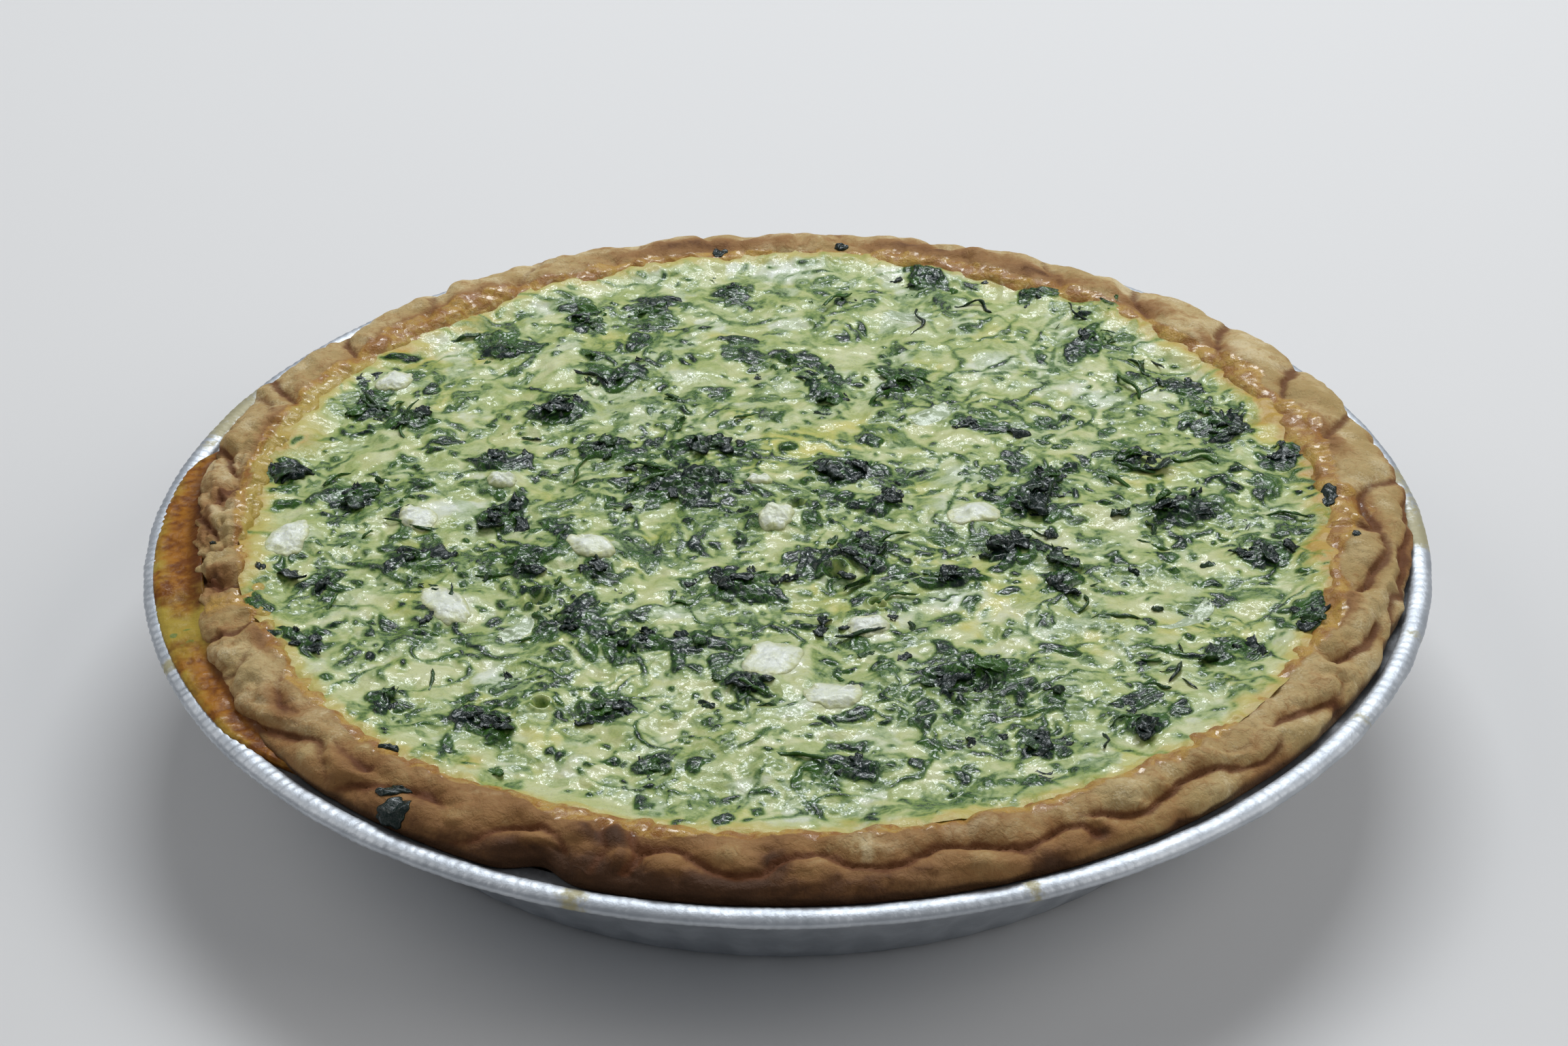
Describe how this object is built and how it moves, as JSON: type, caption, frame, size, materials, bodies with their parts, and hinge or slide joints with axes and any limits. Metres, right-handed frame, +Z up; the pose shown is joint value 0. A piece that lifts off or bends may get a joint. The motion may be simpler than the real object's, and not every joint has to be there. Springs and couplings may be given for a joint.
{
  "type": "spinach quiche",
  "caption": "Whole round spinach quiche with a rope-crimped pastry edge, set custard and lumps of cheese, in the foil tin that it was baked in.",
  "frame": {"origin": "centre of the tin's base, on the surface that it stands on", "axes": "+Z up, away from the base; +X and +Y lie in the base, and -Y is the side with the fullest crimped edge"},
  "size_m": [0.229, 0.229, 0.0365],
  "materials": {
    "foil": "bright rolled foil",
    "pastry": "baked golden brown pastry, browner on the crests and in the creases",
    "custard": "moist set egg custard, pale yellow-green",
    "browned_custard": "egg baked to amber on the rim",
    "spinach": "wet cooked spinach, very dark green",
    "cheese": "crumbly white cheese",
    "onion": "translucent cooked onion"
  },
  "bodies": {
    "root": {"foil_tin": "foil", "crust": "pastry", "filling": "custard", "spill": "browned_custard", "spinach_1": "spinach", "spinach_2": "spinach", "spinach_3": "spinach", "spinach_4": "spinach", "spinach_5": "spinach", "spinach_6": "spinach", "cheese_1": "cheese", "cheese_2": "cheese", "cheese_3": "cheese", "cheese_4": "cheese", "cheese_5": "cheese", "cheese_6": "cheese", "cheese_7": "cheese", "cheese_8": "cheese", "cheese_9": "cheese", "cheese_10": "cheese", "cheese_11": "cheese", "cheese_12": "cheese", "onion_1": "onion", "onion_2": "onion", "onion_3": "onion", "onion_4": "onion"}
  },
  "joints": []
}
